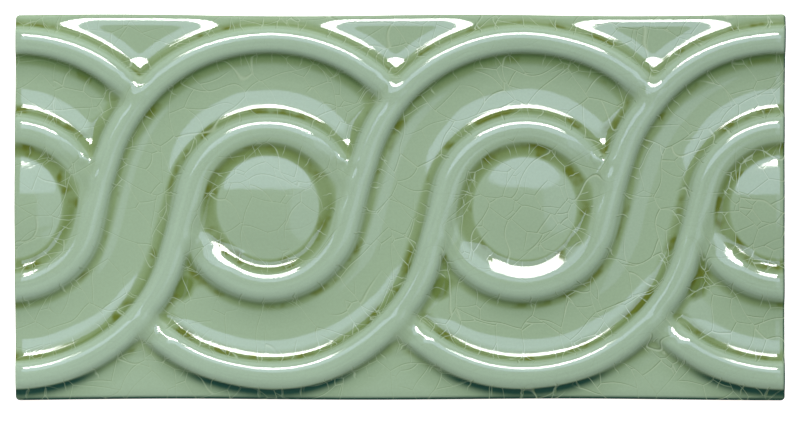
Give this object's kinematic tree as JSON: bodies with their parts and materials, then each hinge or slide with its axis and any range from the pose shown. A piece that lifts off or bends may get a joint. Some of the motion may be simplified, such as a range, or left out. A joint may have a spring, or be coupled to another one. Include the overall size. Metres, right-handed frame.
{
  "type": "relief border tile",
  "caption": "Rectangular glazed ceramic border tile with a raised two-strand interlaced cable relief round a row of domed eyes, laid in a run as wall trim.",
  "frame": {"origin": "middle of the flat back face, on the surface that the tile lies on", "axes": "+X along the tile's length, the way the border runs; +Y across it towards the edge that is uppermost in the picture; +Z out of the relief face"},
  "size_m": [0.152, 0.076, 0.0104],
  "materials": {
    "celadon_glaze": "glossy pale green crackle glaze, paler on the ribs and darker where it pools"
  },
  "bodies": {
    "root": {"border_tile": "celadon_glaze"}
  },
  "joints": []
}
